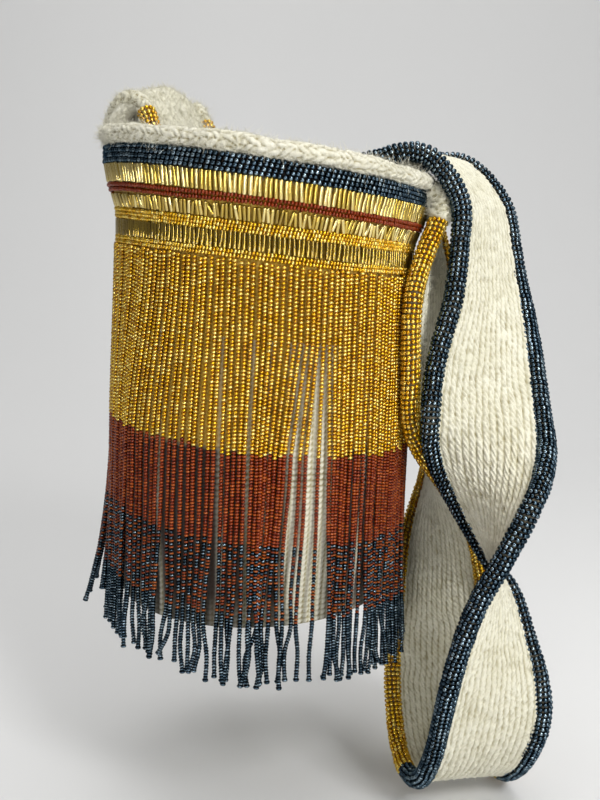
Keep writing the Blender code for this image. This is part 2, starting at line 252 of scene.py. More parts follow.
def both_faces(front, back):
    """A closed section, over the front face and back along the other."""
    return np.concatenate([front, back[:, ::-1]], axis=1)


def make_mesh(name, points, loops, starts, material, values=None, normals=None):
    """A smooth mesh object from flat arrays. values is (r, g, b) per point for the material to read, and
    normals are given where a neighbour goes on with the same surface."""
    mesh = bpy.data.meshes.new(name)
    mesh.vertices.add(len(points))
    mesh.vertices.foreach_set("co", np.asarray(points, np.float32).ravel())
    mesh.loops.add(len(loops))
    mesh.loops.foreach_set("vertex_index", np.asarray(loops, np.int32))
    mesh.polygons.add(len(starts))
    mesh.polygons.foreach_set("loop_start", np.asarray(starts, np.int32))
    mesh.update(calc_edges=True)
    mesh.shade_smooth()
    if values is not None:
        layer = mesh.attributes.new("look", "FLOAT_COLOR", "POINT")
        rgba = np.ones((len(points), 4), np.float32)
        rgba[:, :3] = values
        layer.data.foreach_set("color", rgba.ravel())
    if normals is not None:
        mesh.normals_split_custom_set_from_vertices(np.asarray(normals, np.float32).reshape(-1, 3))
    item = bpy.data.objects.new(name, mesh)
    item.data.materials.append(material)
    bpy.context.scene.collection.objects.link(item)
    return item


def lathe(sides, rings):
    """A closed turned shape about Z from (radius, height) rings: points, loops and polygon starts."""
    angles = turns(sides)
    points = np.array([(r * math.cos(a), r * math.sin(a), z) for r, z in rings for a in angles])
    faces = []
    for ring in range(len(rings) - 1):
        for side in range(sides):
            after = (side + 1) % sides
            low, high = ring * sides, (ring + 1) * sides
            faces.append((low + side, low + after, high + after, high + side))
    faces.append(tuple(reversed(range(sides))))
    faces.append(tuple(range((len(rings) - 1) * sides, len(rings) * sides)))
    loops = [corner for face in faces for corner in face]
    starts = np.cumsum([0] + [len(face) for face in faces[:-1]])
    return points, np.array(loops), starts


SEED = lathe(8, ((0.42, -1.0), (0.84, -0.66), (1.0, 0.0), (0.84, 0.66), (0.42, 1.0)))
FRINGE_SEED = lathe(7, ((0.42, -1.0), (0.86, -0.64), (1.0, 0.0), (0.86, 0.64), (0.42, 1.0)))
FIBRE = lathe(3, ((1.0, 0.0), (0.9, 0.35), (0.7, 0.7), (0.35, 1.0)))
BUGLE = lathe(10, ((0.62, -1.0), (0.96, -0.97), (1.0, -0.92), (1.0, 0.92), (0.96, 0.97), (0.62, 1.0)))


def copies(name, shape, placed, values, material):
    """One mesh of many copies of a turned shape. placed has the points of each copy."""
    _, loops, starts = shape
    offsets = np.arange(len(placed))[:, None]
    all_loops = (loops[None, :] + offsets * placed.shape[1]).ravel()
    all_starts = (starts[None, :] + offsets * len(loops)).ravel()
    return make_mesh(name, placed.reshape(-1, 3), all_loops, all_starts, material, values.reshape(-1, 3))


def stamp(
    name, shape, centres, along, radius, half_length, material, rng, kinds=0.0, shade=1.0, tones=(0.0, 1.0)
):
    """Copies of a turned shape, each at its centre with its own axis, radius and half length. shade is how
    far the painted shade at the ends reaches, and tones is the part of the material's colours that is used."""
    points = shape[0]
    count = len(centres)
    along = unit(np.broadcast_to(along, (count, 3)))
    helper = np.where(np.abs(along[:, 2:3]) < 0.9, (0.0, 0.0, 1.0), (1.0, 0.0, 0.0))
    side = unit(np.cross(along, helper))
    other = np.cross(along, side)
    spin = rng.uniform(0.0, TURN, (count, 1))
    across = np.cos(spin) * side + np.sin(spin) * other
    third = np.cross(along, across)
    radius = np.broadcast_to(radius, count)[:, None, None]
    half_length = np.broadcast_to(half_length, count)[:, None, None]
    placed = (
        centres[:, None, :]
        + radius * (points[None, :, 0:1] * across[:, None, :] + points[None, :, 1:2] * third[:, None, :])
        + half_length * points[None, :, 2:3] * along[:, None, :]
    )
    values = np.empty((count, len(points), 3))
    values[..., 0] = rng.uniform(*tones, (count, 1))
    values[..., 1] = np.broadcast_to(kinds, count)[:, None]
    values[..., 2] = np.abs(points[None, :, 2]) * shade
    return copies(name, shape, placed, values, material)


def grid_faces(rows, columns, wrap_rows=False, wrap_columns=False):
    """Quads between neighbours of a grid of rows x columns points."""
    i = np.arange(rows if wrap_rows else rows - 1)[:, None]
    j = np.arange(columns if wrap_columns else columns - 1)[None, :]
    i_next, j_next = (i + 1) % rows, (j + 1) % columns
    quads = np.stack(
        [i * columns + j, i * columns + j_next, i_next * columns + j_next, i_next * columns + j], axis=-1
    )
    return quads.reshape(-1, 4)


def grid_mesh(
    name, points, material, relief, wrap_rows=False, wrap_columns=True, caps=False, painted_glow_and_shade=0.0, normals=None
):
    """A mesh over a grid of points; relief, from 0 in a groove to 1 on a crest, goes to the material, as do
    painted_glow_and_shade, the two amounts of painted amber glow and painted shade laid on the yarn."""
    rows, columns = points.shape[:2]
    quads = grid_faces(rows, columns, wrap_rows, wrap_columns)
    loops = list(quads.ravel())
    starts = list(np.arange(len(quads)) * 4)
    if caps:
        starts.append(len(loops))
        loops.extend(range(columns))
        starts.append(len(loops))
        loops.extend(reversed(range((rows - 1) * columns, rows * columns)))
    values = np.zeros((rows, columns, 3))
    values[..., 0] = clamp(relief)
    values[..., 1:] = painted_glow_and_shade
    item = make_mesh(name, points.reshape(-1, 3), loops, starts, material, values.reshape(-1, 3), normals)
    if caps and normals is None:
        for cap in (len(starts) - 2, len(starts) - 1):
            item.data.polygons[cap].use_smooth = False
    return item


def smooth_noise(rng, count, period, closed=False):
    """A smooth random line of count values, about -1 to 1, that turns over about every period values."""
    knots = max(int(round(count / period)), 2)
    values = rng.normal(0.0, 0.5, knots + 3)
    if closed:
        values[knots:] = values[: 3]
    place = np.arange(count) / count * knots
    first = place.astype(int)
    share = place - first
    ease = share * share * (3.0 - 2.0 * share)
    return values[first] * (1 - ease) + values[first + 1] * ease


class Nodes:
    """Short way to write the nodes of a material or a world."""

    def __init__(self, holder, shader="Principled BSDF"):
        self.holder = holder
        holder.use_nodes = True
        self.tree = holder.node_tree
        self.shader = self.tree.nodes[shader]

    def add(self, kind, **settings):
        node = self.tree.nodes.new(kind)
        for key, value in settings.items():
            setattr(node, key, value)
        return node

    def link(self, source, target):
        self.tree.links.new(source, target)

    def set(self, **values):
        for key, value in values.items():
            self.shader.inputs[key.replace("_", " ")].default_value = value

    def ramp(self, source, stops):
        node = self.add("ShaderNodeValToRGB")
        while len(node.color_ramp.elements) < len(stops):
            node.color_ramp.elements.new(0.5)
        for element, (place, colour) in zip(node.color_ramp.elements, stops):
            element.position = place
            element.color = (*colour, 1.0)
        self.link(source, node.inputs["Fac"])
        return node.outputs["Color"]

    def look(self):
        """The three values that each mesh carries per point."""
        attribute = self.add("ShaderNodeAttribute", attribute_name="look")
        parts = self.add("ShaderNodeSeparateColor")
        self.link(attribute.outputs["Color"], parts.inputs["Color"])
        return parts.outputs["Red"], parts.outputs["Green"], parts.outputs["Blue"]

    def mix(self, share, a, b, blend="MIX"):
        node = self.add("ShaderNodeMix", data_type="RGBA", blend_type=blend)
        for socket, value in ((node.inputs[0], share), (node.inputs[6], a), (node.inputs[7], b)):
            if hasattr(value, "links"):
                self.link(value, socket)
            elif isinstance(value, tuple):
                socket.default_value = (*value, 1.0)
            else:
                socket.default_value = value
        return node.outputs[2]

    def noise(self, scale, detail=2.0):
        place = self.add("ShaderNodeTexCoord")
        node = self.add("ShaderNodeTexNoise")
        node.inputs["Scale"].default_value = scale
        node.inputs["Detail"].default_value = detail
        self.link(place.outputs["Object"], node.inputs["Vector"])
        return node.outputs["Fac"]

    def bump(self, height, strength, distance):
        node = self.add("ShaderNodeBump")
        node.inputs["Strength"].default_value = strength
        node.inputs["Distance"].default_value = distance
        self.link(height, node.inputs["Height"])
        self.link(node.outputs["Normal"], self.shader.inputs["Normal"])


def bead_material(name, tones, metallic, roughness, coat, end_painted_shade, edge_tint, other_tones=None):
    """Lined or metallic glass. tones are the dark, middle and light colours of single beads, which carry
    painted shade at their ends, where one bead sits on the next, and so a lighter middle as a painted
    highlight. other_tones are those of the second kind. edge_tint is the colour of what glances off the
    sides."""
    nodes = Nodes(bpy.data.materials.new(name))
    chance, kind, end = nodes.look()
    stops = (0.0, 0.45, 1.0)
    colour = nodes.ramp(chance, list(zip(stops, tones)))
    if other_tones:
        colour = nodes.mix(kind, colour, nodes.ramp(chance, list(zip(stops, other_tones))))
        nodes.link(kind, nodes.shader.inputs["Metallic"])
    # Painted shade at each bead's ends, which leaves a lighter middle as a painted highlight.
    between = tuple(0.16 + 0.70 * part for part in end_painted_shade)
    shade = nodes.ramp(end, [(0.0, (1.0, 1.0, 1.0)), (0.45, between), (1.0, end_painted_shade)])
    colour = nodes.mix(1.0, colour, shade, "MULTIPLY")
    patch = nodes.ramp(nodes.noise(38.0), [(0.30, (0.86, 0.83, 0.78)), (0.70, (1.0, 1.0, 1.0))])
    colour = nodes.mix(1.0, colour, patch, "MULTIPLY")
    nodes.link(colour, nodes.shader.inputs["Base Color"])
    spread = nodes.ramp(nodes.noise(2600.0), [(0.3, (roughness,) * 3), (0.8, (roughness * 1.6,) * 3)])
    nodes.link(spread, nodes.shader.inputs["Roughness"])
    nodes.set(Metallic=metallic, IOR=1.52, Coat_Weight=coat, Coat_Roughness=0.05, Coat_IOR=1.8)
    nodes.shader.inputs["Specular IOR Level"].default_value = 0.5
    nodes.shader.inputs["Specular Tint"].default_value = (*edge_tint, 1.0)
    return nodes.holder


def yarn_material(name, groove, crest):
    """Matt cotton yarn: painted shade in the grooves, fine twisted plies and a soft surface. Painted amber
    glow and painted shade stand for the light and shade of the beads in front.
    """
    nodes = Nodes(bpy.data.materials.new(name))
    relief, amber, dark = nodes.look()
    # Painted shade: grooves darker than crests.
    colour = nodes.ramp(relief, [(0.0, groove), (0.75, crest)])
    # Painted light: an amber glow behind the gold strands.
    colour = nodes.mix(amber, colour, (0.56, 0.34, 0.010))
    # Painted shade: near black behind the strands.
    colour = nodes.mix(dark, colour, (0.022, 0.008, 0.004))
    tint = nodes.ramp(nodes.noise(60.0, 3.0), [(0.30, (0.90, 0.89, 0.84)), (0.72, (1.0, 1.0, 1.0))])
    colour = nodes.mix(1.0, colour, tint, "MULTIPLY")
    fine = nodes.noise(1900.0, 4.0)
    lint = nodes.ramp(fine, [(0.25, (0.86, 0.85, 0.80)), (0.65, (1.0, 1.0, 1.0))])
    colour = nodes.mix(1.0, colour, lint, "MULTIPLY")
    nodes.link(colour, nodes.shader.inputs["Base Color"])
    nodes.bump(fine, 0.55, 0.0005)
    nodes.set(Roughness=0.92, Sheen_Weight=0.25, Sheen_Roughness=0.6)
    nodes.shader.inputs["Specular IOR Level"].default_value = 0.2
    return nodes.holder


# The first colour of each is the painted shade of the grooves, the second that of the crests.
CREAM = yarn_material("cream_crochet", (0.29, 0.25, 0.12), (0.71, 0.69, 0.59))
WEBBING = yarn_material("cream_strap_crochet", (0.24, 0.20, 0.075), (0.71, 0.69, 0.575))
GOLD = bead_material(
    "gold_seed_beads", ((0.60, 0.34, 0.003), (0.82, 0.56, 0.012), (0.99, 0.87, 0.28)), 0.80, 0.20, 0.3,
    (0.72, 0.48, 0.08), (1.0, 0.86, 0.40),
)
BUGLES = bead_material(
    "gold_bugle_beads", ((0.34, 0.25, 0.02), (0.66, 0.53, 0.10), (0.98, 0.93, 0.62)), 0.9, 0.12, 0.5,
    (0.80, 0.70, 0.45), (1.0, 0.92, 0.60),
)
RED_TONES = ((0.18, 0.018, 0.001), (0.32, 0.050, 0.004), (0.46, 0.110, 0.012))
# Painted shade at the ends of the red beads.
RED_END_PAINTED_SHADE = (0.30, 0.12, 0.10)
RED_EDGE = (1.0, 0.62, 0.50)
BLUE_TONES = ((0.050, 0.080, 0.108), (0.100, 0.155, 0.205), (0.34, 0.44, 0.51))
# Strong painted shade at the ends of the blue beads, so their lighter middles read as painted highlights.
BLUE_END_PAINTED_SHADE = (0.05, 0.07, 0.09)
BLUE_EDGE = (0.22, 0.28, 0.34)
RED = bead_material("red_seed_beads", RED_TONES, 0.0, 0.16, 0.0, RED_END_PAINTED_SHADE, RED_EDGE)
BLUE = bead_material("blue_seed_beads", BLUE_TONES, 1.0, 0.10, 0.0, BLUE_END_PAINTED_SHADE, BLUE_EDGE)
MIXED_EDGE = (0.70, 0.55, 0.50)
MIXED = bead_material("mixed_seed_beads", RED_TONES, 0.0, 0.14, 0.0, BLUE_END_PAINTED_SHADE, MIXED_EDGE, BLUE_TONES)

RUN_MATERIALS = {"gold": GOLD, "red": RED, "mixed": MIXED, "blue": BLUE}


def carried(item, body, nodes):
    """Hands a finished piece to a body in place of its plain solids. body is a body's name, or the two
    places between which the piece passes from the bag to the strap's loop; such a piece is only fixed in
    world place."""
    if isinstance(body, str):
        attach(item, body)
    else:
        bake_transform(item)
    if nodes:
        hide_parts(*nodes)


# Bead rows round the wall

SEED_RADIUS = 0.00113
SEED_PITCH = 0.00172
STRUNG_SHADE = 0.5


def seed_rows(
    name, low, depth, rows, material, seed, waviness,
    size=SEED_RADIUS, pitch=SEED_PITCH, length=SEED_PITCH, tones=(0.0, 1.0),
):
    """Rows of seed beads strung round the wall, one above the other."""
    rng = np.random.default_rng(seed)
    spacing = depth / rows
    count = int(TURN * float(body_radius(low)) / pitch)
    centres = []
    wave = smooth_noise(rng, count, 26, closed=True) * waviness
    for row in range(rows):
        azimuth = (np.arange(count) + 0.28 * row + rng.normal(0, 0.05, count)) / count * TURN
        height = low + spacing * (row + 0.5) + wave + rng.normal(0, 0.00010, count)
        height = np.clip(height, low + size * 0.4, low + depth - size * 0.4)
        radius = body_radius(height) + GAP + size + rng.normal(0, 0.00010, count)
        centres.append(settle(on_ring(radius, azimuth, height)))
    along = [np.roll(line, -1, axis=0) - np.roll(line, 1, axis=0) for line in centres]
    centres, along = np.concatenate(centres), np.concatenate(along)
    radii = size * rng.uniform(0.93, 1.06, len(centres))
    lengths = length / 2 * rng.uniform(0.94, 1.02, len(centres))
    item = stamp(
        name + "_beads", SEED, centres, along, radii, lengths, material, rng,
        shade=STRUNG_SHADE, tones=tones,
    )
    carried(item, "bag", [name])


def bugle_row(name, low, depth, pitch, size, tilt, unevenness, seed, tones):
    """A row of upright glass tubes side by side round the wall."""
    rng = np.random.default_rng(seed)
    count = int(TURN * float(body_radius(low + depth / 2)) / pitch)
    azimuth = (np.arange(count) + rng.normal(0, 0.09, count)) / count * TURN
    half = (depth + 0.0003) / 2 * (1 - unevenness * rng.uniform(0, 1, count))
    middle = low + depth / 2 + rng.normal(0, 0.00015, count)
    lean = rng.normal(0, tilt, count) / BELLY_RADIUS
    ends = []
    for sign in (-1, 1):
        height = middle + sign * half
        radius = body_radius(height) + GAP + size
        ends.append(settle(on_ring(radius, azimuth + sign * lean, height)))
    radii = size * rng.uniform(0.92, 1.05, count)
    middles, axes = (ends[0] + ends[1]) / 2, ends[1] - ends[0]
    item = stamp(name + "_tubes", BUGLE, middles, axes, radii, half, BUGLES, rng, tones=tones)
    carried(item, "bag", [name])


def bead_bands():
    seed_rows(
        "fringe_header_rows", HEADER_LOW, HEADER_DEPTH, 2, GOLD, 11, 0.0003, size=0.00122
    )
    bugle_row(
        "lower_bugle_row", LOWER_BUGLE_LOW, LOWER_BUGLE_DEPTH,
        pitch=0.00232, size=0.00112, tilt=0.0002, unevenness=0.04, seed=12, tones=(0.0, 0.22),
    )
    seed_rows("gold_seed_net", NET_LOW, NET_DEPTH, 3, GOLD, 13, 0.0004, size=0.00120)
    bugle_row(
        "middle_bugle_row", MIDDLE_BUGLE_LOW, MIDDLE_BUGLE_DEPTH,
        pitch=0.00215, size=0.00100, tilt=0.0006, unevenness=0.18, seed=14, tones=(0.0, 1.0),
    )
    seed_rows(
        "red_seed_band", RED_BAND_LOW, RED_BAND_DEPTH, 2, RED, 15, 0.0004,
        size=0.00126, tones=(0.0, 0.35),
    )
    bugle_row(
        "upper_bugle_row", UPPER_BUGLE_LOW, UPPER_BUGLE_DEPTH,
        pitch=0.00236, size=0.00112, tilt=0.0002, unevenness=0.04, seed=16, tones=(0.35, 1.0),
    )
    seed_rows(
        "dark_seed_band", DARK_BAND_LOW, DARK_BAND_DEPTH, 4, BLUE, 17, 0.0003,
        size=0.00132, pitch=0.00264, length=0.00256,
    )


# Fringe

STRANDS_PER_PANEL = 22
STRAND_SAMPLES = 140
BEAD_PITCHES = {"gold": 0.00186, "red": 0.00166, "mixed": 0.00165, "blue": 0.00158}
BEAD_RADII = {"gold": 0.00132, "red": 0.00124, "mixed": 0.00124, "blue": 0.00138}
TRAPPED_PANELS = (1, 2)

# The strands on the left of the front hang aslant: degrees at the most, where, and how far that spreads
DRIFT = -8.5
DRIFT_AZIMUTH = -137.0
DRIFT_SPREAD = 24.0

# Where the strands part: azimuth and the degrees that the next strands to its left and right move by
PARTINGS = (
    (-101.0, 0.5, 0.4),
    (-91.2, 0.7, 0.5),
    (-84.8, 0.5, 0.3),
    (-46.5, 0.9, 0.9),
    (-33.0, 0.5, 0.5),
    (-126.0, 0.6, 0.5),
    (150.0, 0.8, 0.8),
    (75.0, 0.9, 0.7),
    (20.0, 0.7, 0.8),
)

# Degrees that the strands nearest the main parting move by: the last of a panel and the first of the next
MAIN_PARTING = (
    -0.6, -1.1, -1.75, -2.2, -2.8, -3.3, -3.7, -4.2, -4.3, -3.1, -2.9, -0.3,
    1.7, 1.2, 0.8, 0.5, 0.3,
)


def fringe_middle(height):
    """Radius of the strands' middle lines, where the model has its fringe."""
    share = clamp((BELLY_HEIGHT - height) / (BELLY_HEIGHT + FRINGE_OVERHANG))
    on_wall = np.where(height >= BELLY_HEIGHT, body_radius(height), BELLY_RADIUS)
    return on_wall + FRINGE_CLEARANCE + FRINGE_THICKNESS / 2 + FRINGE_FLARE * share


def strand_path(rng, azimuth, pull, wave, tip_length, swerve, opened, swung):
    """The middle line of one strand from the header down. azimuth is in degrees, pull and wave are what it
    shares with its bunch, and opened is how many degrees it has moved by where the red beads start."""
    depth = np.linspace(0.0, 1.0, STRAND_SAMPLES)
    length = GOLD_LENGTH + RED_LENGTH + MIXED_LENGTH + tip_length
    height = HEADER_LOW - depth * length
    below_gold = clamp((depth * length - GOLD_LENGTH) / (length - GOLD_LENGTH))
    aside = pull * below_gold ** 1.5 + wave * below_gold
    aside += smooth_noise(rng, STRAND_SAMPLES, 60) * 0.0003
    aside += smooth_noise(rng, STRAND_SAMPLES, 26) * 0.0012 * below_gold
    curl = clamp((below_gold - 0.60) / 0.40)
    aside += swerve * curl ** 2 + smooth_noise(rng, STRAND_SAMPLES, 12) * 0.0030 * curl
    aside += swung[0] * below_gold ** 2.5
    opening = clamp((depth * length - GOLD_LENGTH * 0.40) / (GOLD_LENGTH * 0.60))
    opening += 0.45 * ease(below_gold, 0.05, 0.65)
    from_drift = (azimuth - DRIFT_AZIMUTH + 180.0) % 360.0 - 180.0
    drift = DRIFT * math.exp(-(from_drift / DRIFT_SPREAD) ** 2)
    drift = drift * ease(depth * length, 0.0, GOLD_LENGTH * 1.15)
    angle = np.radians(azimuth + opened * opening + drift) + aside / BELLY_RADIUS
    outward = rng.uniform(-0.0004, 0.0006) + smooth_noise(rng, STRAND_SAMPLES, 36) * 0.0018 * below_gold
    outward += abs(swerve) * 0.30 * curl + swung[1] * below_gold ** 2.5
    radius = fringe_middle(height) + outward
    return settle(on_ring(radius, angle, height), carried_at=HEADER_LOW)


def place_beads(path, rng):
    """Beads of the four runs down one path: places, axes, runs and mixed kinds."""
    travelled = lengths_along(path)
    changes = np.cumsum([GOLD_LENGTH, RED_LENGTH, MIXED_LENGTH]) + rng.normal(0, 0.0011, 3)
    places, runs, place = [], [], rng.uniform(0.0006, 0.0024)
    while place < travelled[-1]:
        run = ("gold", "red", "mixed", "blue")[int(np.searchsorted(changes, place))]
        places.append(place)
        runs.append(run)
        place += BEAD_PITCHES[run] * rng.uniform(0.96, 1.04)
    places = np.array(places)
    centres, along = points_at(places, travelled, path)
    kinds = (np.arange(len(places)) + rng.integers(0, 2)) % 2
    slips = rng.uniform(0, 1, len(places)) < 0.12
    return centres, along, np.array(runs), np.where(slips, 1 - kinds, kinds)


# Strands that swing away at their ends: panel and strand, then metres aside, outwards and lost in length
STRAYS = {
    (5, 13): (-0.002, 0.004, 0.004),
    (5, 14): (-0.003, 0.007, 0.008),
    (5, 15): (-0.004, 0.011, 0.002),
    (5, 16): (-0.004, 0.013, 0.000),
    (5, 17): (-0.003, 0.012, 0.004),
    (5, 18): (0.001, 0.003, 0.010),
    (5, 19): (0.001, 0.002, 0.012),
    (0, 18): (-0.003, 0.001, 0.003),
    (0, 19): (-0.006, 0.002, 0.001),
    (0, 20): (-0.009, 0.004, 0.002),
    (0, 21): (-0.011, 0.006, 0.000),
    (1, 0): (-0.009, 0.004, 0.004),
    (1, 1): (-0.012, 0.007, 0.002),
    (1, 2): (-0.008, 0.005, 0.006),
    (1, 4): (-0.004, 0.003, 0.004),
}
TIP_SHARES = (1.05, 0.98, 0.98, 1.02, 1.0, 0.97, 1.03, 1.06)


def opening_of(panel, strand, azimuth):
    """Degrees that a strand moves by at the partings near it."""
    opened = 0.0
    for place, left, right in PARTINGS:
        away = (azimuth - place + 180.0) % 360.0 - 180.0
        opened += (right if away > 0.0 else -left) * math.exp(-abs(away) / 2.4)
    before = strand - STRANDS_PER_PANEL + 12 if panel == PANEL_COUNT - 1 else -1
    place = strand + 12 if panel == 0 else before
    return MAIN_PARTING[place] if 0 <= place < len(MAIN_PARTING) else opened


def fringe_panel(panel):
    rng = np.random.default_rng(100 + panel)
    pitch = 360.0 / PANEL_COUNT
    start = PARTING_AZIMUTH + panel * pitch
    end = start + pitch
    azimuths = start + (np.arange(STRANDS_PER_PANEL) + 0.5) / STRANDS_PER_PANEL * (end - start)
    azimuths += rng.normal(0, 0.10, STRANDS_PER_PANEL)
    pulls = np.zeros(STRANDS_PER_PANEL)
    waves = np.zeros((STRANDS_PER_PANEL, STRAND_SAMPLES))
    first = 0
    while first < STRANDS_PER_PANEL:
        size = int(rng.integers(2, 6))
        group = slice(first, min(first + size, STRANDS_PER_PANEL))
        middle = azimuths[group].mean() + rng.normal(0, 0.9)
        pulls[group] = np.radians(middle - azimuths[group]) * BELLY_RADIUS * rng.uniform(0.05, 0.38)
        waves[group] = smooth_noise(rng, STRAND_SAMPLES, 28) * 0.0022
        first += size
    found = {run: [] for run in RUN_MATERIALS}
    for strand in range(STRANDS_PER_PANEL):
        tip = BLUE_LENGTH * TIP_SHARES[panel] - rng.uniform(0.0, 0.006)
        swerve = rng.normal(0, 0.0015) if rng.uniform() < 0.75 else rng.normal(0, 0.0042)
        swung = STRAYS.get((panel, strand), (0.0, 0.0, 0.0))
        opened = opening_of(panel, strand, azimuths[strand])
        tip -= swung[2]
        path = strand_path(rng, azimuths[strand], pulls[strand], waves[strand], tip, swerve, opened, swung)
        centres, along, runs, kinds = place_beads(path, rng)
        radii = np.array([BEAD_RADII[run] for run in runs]) * rng.uniform(0.94, 1.05, len(runs))
        halves = np.array([BEAD_PITCHES[run] for run in runs]) / 2 * rng.uniform(0.94, 1.02, len(runs))
        radii[-1] *= 1.25
        halves[-1] *= 1.15
        for run in RUN_MATERIALS:
            chosen = runs == run
            found[run].append([part[chosen] for part in (centres, along, radii, halves, kinds)])
    number = panel + 1
    body = "bag" if number in TRAPPED_PANELS else f"fringe_panel_{number}"
    for run, lists in found.items():
        centres, along, radii, halves, kinds = (np.concatenate(column) for column in zip(*lists))
        name = f"fringe_{number}_{run}"
        item = stamp(
            name + "_strands", FRINGE_SEED, centres, along, radii, halves, RUN_MATERIALS[run], rng, kinds
        )
        carried(item, body, [name])


# Crochet wall, base and rim

STITCH_WIDTH = 0.0036
STITCH_HEIGHT = 0.0031
STITCH_RELIEF = 0.0009
BASE_STITCHES = 60


def v_stitches(across, along):
    """Height of V stitches, 0 to 1. across counts stitches round a row and along counts rows."""
    column = across - np.floor(across) - 0.5
    row = along - np.floor(along)
    leg = np.abs(column)
    lean = (leg - 0.25) - (row - 0.5) * 0.22
    ridge = clamp(1.0 - (lean / 0.24) ** 2)
    swell = clamp(np.sin(math.pi * clamp(row * 1.02))) ** 0.5
    return np.sqrt(ridge) * swell


def wall_painted_glow_and_shade(azimuth, height):
    """How much painted amber glow and how much painted shade the wall gets behind the strands, away from
    the fringe's parting.
    """
    gold_low = HEADER_LOW - GOLD_LENGTH
    soft = 0.002
    in_gold = clamp((height - gold_low) / soft)
    in_gold = in_gold * clamp((DARK_BAND_LOW - height) / soft)
    from_parting = np.degrees((azimuth - math.radians(PARTING_AZIMUTH) + math.pi) % TURN - math.pi)
    covered = 1.0 - ease(from_parting, -13.5, -11.5) * (1.0 - ease(from_parting, 5.5, 7.5))
    for place, _, _ in PARTINGS:
        away = np.degrees((azimuth - math.radians(place) + math.pi) % TURN - math.pi)
        covered = covered * (1.0 - 0.78 * (1.0 - ease(np.abs(away), 0.6, 1.2)))
    covered = np.where(height > HEADER_LOW - GOLD_LENGTH * 0.4, 1.0, covered)
    # Painted shade behind the strands, lighter towards the bottom of the wall.
    shaded = np.clip(0.62 + height / 0.05, 0.62, 0.97)
    # The first value is painted amber glow behind the gold strands, the second painted shade behind the
    # rest.
    return np.stack([0.9 * in_gold * covered, shaded * (1.0 - in_gold) * covered], axis=-1)


def crochet_wall():
    """The outside and the inside of the wall, in V stitches."""
    rng = np.random.default_rng(31)
    stitches = int(TURN * BELLY_RADIUS / STITCH_WIDTH)
    columns = stitches * 3
    azimuth = turns(columns)[None, :]
    height = np.linspace(0.0, WALL_TOP, int(WALL_TOP / STITCH_HEIGHT) * 3)[:, None]
    relief = v_stitches(azimuth / TURN * stitches, height / STITCH_HEIGHT)
    for name, side in (("body_wall_outside", 1), ("body_wall_inside", -1)):
        wobble = smooth_noise(rng, columns, 40, closed=True)[None, :] * 0.0002
        face = body_radius(height) - (0.0 if side > 0 else WALL_THICKNESS)
        radius = face + side * (relief * STITCH_RELIEF - STITCH_RELIEF) + wobble
        points = settle(on_ring(radius, azimuth, height))
        # Painted amber glow and painted shade go on the outside of the wall only.
        painted_glow_and_shade = wall_painted_glow_and_shade(azimuth, height) if side > 0 else 0.0
        item = grid_mesh(name, points[::side], CREAM, relief[::side], painted_glow_and_shade=painted_glow_and_shade)
        carried(item, "bag", ["body_wall"])


def crochet_base():
    """Rounds of stitches from the middle outwards, under and over the base."""
    rounds = int(BASE_RADIUS / STITCH_HEIGHT)
    rings, sides = rounds * 4, 360
    azimuth = turns(sides)[None, :]
    lines = []
    for face, height in ((1, 0.0), (-1, BASE_THICKNESS)):
        share = np.linspace(0.02, 1.0, rings)
        if face < 0:
            share = share[::-1]
        radius = share[:, None] * (BASE_RADIUS - WALL_THICKNESS - GAP)
        relief = v_stitches(azimuth / TURN * BASE_STITCHES, radius / STITCH_HEIGHT)
        depth = height + face * (1.0 - relief) * 0.0008
        lines.append((settle(on_ring(radius, azimuth, depth)), relief))
    points, relief = (np.concatenate(pair) for pair in zip(*lines))
    item = grid_mesh("base_disc_rounds", points[::-1], CREAM, relief[::-1], caps=True)
    carried(item, "bag", ["base_disc"])


RIM_STITCHES = 104
RIM_ROWS = 8
FIBRE_RADIUS = 0.00009
LEAF_SLANT = 0.9


def noise_grid(rng, rows, columns, step_rows, step_columns):
    """Smooth random values, about -1 to 1, over a grid that closes on itself both ways."""
    knots = rng.normal(0.0, 0.5, (max(rows // step_rows, 2), max(columns // step_columns, 2)))
    r = np.arange(rows) / rows * knots.shape[0]
    c = np.arange(columns) / columns * knots.shape[1]
    r0, c0 = r.astype(int), c.astype(int)
    fr, fc = (r - r0)[:, None], (c - c0)[None, :]
    fr, fc = fr * fr * (3 - 2 * fr), fc * fc * (3 - 2 * fc)
    r1, c1 = (r0 + 1) % knots.shape[0], (c0 + 1) % knots.shape[1]
    near = knots[np.ix_(r0, c0)] * (1 - fc) + knots[np.ix_(r0, c1)] * fc
    far = knots[np.ix_(r1, c0)] * (1 - fc) + knots[np.ix_(r1, c1)] * fc
    return near * (1 - fr) + far * fr


def roughened(rng, relief, step_rows, step_columns, amount):
    return clamp(relief + noise_grid(rng, *relief.shape, step_rows, step_columns) * amount)


def leaf_stitches(along, across):
    """Height, 0 to 1, of rows of leaf-shaped stitches that lean to alternate sides like a braid."""
    row = np.floor(across)
    lean = np.where(row % 2 == 0, 1.0, -1.0)
    b = across - row - 0.5
    place = along + 0.5 * (row % 2) + lean * LEAF_SLANT * b
    index = np.floor(place)
    a = place - index - 0.5
    size = 0.86 + 0.22 * np.sin(index * 12.9898 + row * 78.233) * np.sin(index * 4.1 + row * 1.7)
    hill = np.sqrt(clamp(1.0 - (a / 0.52) ** 2 - (b / 0.66) ** 2))
    ply = 0.5 + 0.5 * np.cos((a * 2.6 + b * lean * 1.3) * TURN)
    return clamp(hill * size * (0.90 + 0.10 * ply))


